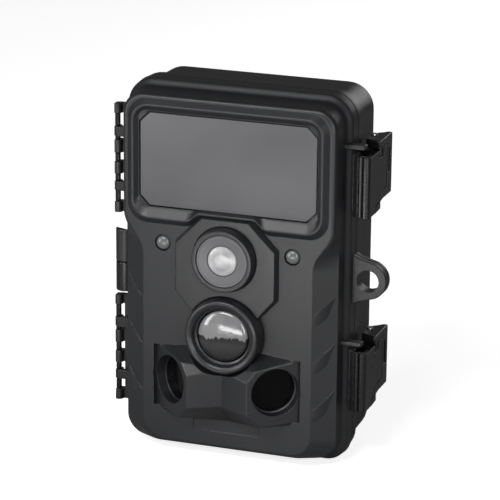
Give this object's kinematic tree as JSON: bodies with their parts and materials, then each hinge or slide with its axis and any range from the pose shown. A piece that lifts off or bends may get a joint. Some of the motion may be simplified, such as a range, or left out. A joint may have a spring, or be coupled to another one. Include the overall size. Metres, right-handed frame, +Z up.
{
  "type": "trail camera",
  "caption": "Hinged weatherproof trail camera with infrared window, lens, three motion sensors, two side latches, padlock eye, battery bay and strap bracket.",
  "frame": {"origin": "centre of the bounding box's footprint, at the lowest point of the case's rim", "axes": "+Z up, -Y out of the lens, +X to the right as seen from the front, towards the latches"},
  "size_m": [0.1098, 0.0626, 0.1442],
  "materials": {
    "shell_plastic": "fine-grained moulded charcoal plastic",
    "latch_plastic": "glossy black moulded plastic",
    "inner_plastic": "matte dark plastic",
    "key_plastic": "satin grey plastic",
    "window_panel": "smoked infrared-passing sheet, semi-gloss",
    "black_window": "glossy black window",
    "motion_dome": "glossy faceted dome",
    "lens_grey": "satin grey mask",
    "lens_glass": "pale reflecting lens",
    "indicator_plastic": "clear grey lamp dome",
    "steel": "plain steel",
    "brass": "machined brass",
    "circuit_board": "green circuit board",
    "seal_rubber": "soft black rubber",
    "cell_jacket": "printed-free metal jacket"
  },
  "bodies": {
    "base": {"rear_shell": "shell_plastic", "seal_ring": "seal_rubber", "tree_bracket": "inner_plastic", "bracket_screw_1": "steel", "bracket_screw_2": "steel", "tripod_insert": "brass", "hinge_pin_upper": "latch_plastic", "hinge_pin_lower": "latch_plastic", "latch_pin_upper": "steel", "latch_pin_lower": "steel", "middle_post": "latch_plastic", "battery_tray": "inner_plastic", "battery_contact_upper": "steel", "battery_contact_lower": "steel", "battery_1": "cell_jacket", "battery_2": "cell_jacket", "battery_3": "cell_jacket", "battery_4": "cell_jacket", "battery_5": "cell_jacket", "battery_6": "cell_jacket", "battery_7": "cell_jacket", "battery_8": "cell_jacket"},
    "door": {"front_shell": "shell_plastic", "infrared_window": "window_panel", "infrared_board": "circuit_board", "lens_plate": "shell_plastic", "lens_ring": "shell_plastic", "lens_mask": "lens_grey", "lens_glass": "lens_glass", "lens_barrel": "latch_plastic", "motion_ring": "shell_plastic", "motion_lens": "motion_dome", "motion_detector": "steel", "side_window_left": "black_window", "side_window_right": "black_window", "side_detector_left": "steel", "side_detector_right": "steel", "indicator_left": "indicator_plastic", "indicator_right": "indicator_plastic", "main_board": "circuit_board", "display_screen": "black_window", "control_panel": "inner_plastic", "card_slot": "steel", "usb_port": "steel", "panel_screw_1": "steel", "panel_screw_2": "steel"},
    "battery_cover": {"battery_cover": "inner_plastic"},
    "lever_upper": {"latch_lever_upper": "latch_plastic", "link_pin_upper": "steel"},
    "hook_upper": {"latch_hook_upper": "latch_plastic"},
    "lever_lower": {"latch_lever_lower": "latch_plastic", "link_pin_lower": "steel"},
    "hook_lower": {"latch_hook_lower": "latch_plastic"},
    "key_up": {"key_up": "key_plastic"},
    "key_down": {"key_down": "key_plastic"},
    "key_left": {"key_left": "key_plastic"},
    "key_right": {"key_right": "key_plastic"},
    "key_ok": {"key_ok": "key_plastic"},
    "power_switch": {"power_switch": "key_plastic"},
    "memory_card": {"memory_card": "inner_plastic"}
  },
  "joints": [
    {"name": "door_hinge", "type": "hinge", "parent": "base", "child": "door", "pos_m": [-0.05395, -0.0025, 0.0713], "axis": [0, 0, -1], "range_deg": [0, 160]},
    {"name": "latch_lever_upper_pivot", "type": "hinge", "parent": "base", "child": "lever_upper", "pos_m": [0.04405, 0.011, 0.1117], "axis": [0, 0, 1], "range_deg": [0, 50]},
    {"name": "latch_hook_upper_pivot", "type": "hinge", "parent": "lever_upper", "child": "hook_upper", "pos_m": [0.04775, 0.0069, 0.1117], "axis": [0, 0, 1], "range_deg": [0, 6]},
    {"name": "latch_lever_lower_pivot", "type": "hinge", "parent": "base", "child": "lever_lower", "pos_m": [0.04405, 0.011, 0.0352], "axis": [0, 0, 1], "range_deg": [0, 50]},
    {"name": "latch_hook_lower_pivot", "type": "hinge", "parent": "lever_lower", "child": "hook_lower", "pos_m": [0.04775, 0.0069, 0.0352], "axis": [0, 0, 1], "range_deg": [0, 6]},
    {"name": "key_up_press", "type": "slide", "parent": "door", "child": "key_up", "axis": [0, -1, 0], "range_m": [0, 0.0005], "stiffness_N_per_m": 300},
    {"name": "key_down_press", "type": "slide", "parent": "door", "child": "key_down", "axis": [0, -1, 0], "range_m": [0, 0.0005], "stiffness_N_per_m": 300},
    {"name": "key_left_press", "type": "slide", "parent": "door", "child": "key_left", "axis": [0, -1, 0], "range_m": [0, 0.0005], "stiffness_N_per_m": 300},
    {"name": "key_right_press", "type": "slide", "parent": "door", "child": "key_right", "axis": [0, -1, 0], "range_m": [0, 0.0005], "stiffness_N_per_m": 300},
    {"name": "key_ok_press", "type": "slide", "parent": "door", "child": "key_ok", "axis": [0, -1, 0], "range_m": [0, 0.0005], "stiffness_N_per_m": 300},
    {"name": "power_switch_slide", "type": "slide", "parent": "door", "child": "power_switch", "axis": [1, 0, 0], "range_m": [0, 0.006]},
    {"name": "memory_card_slide", "type": "slide", "parent": "door", "child": "memory_card", "axis": [0, 0, -1], "range_m": [0, 0.003]},
    {"name": "battery_cover_slide", "type": "slide", "parent": "base", "child": "battery_cover", "axis": [0, 0, 1], "range_m": [0, 0.003]}
  ]
}
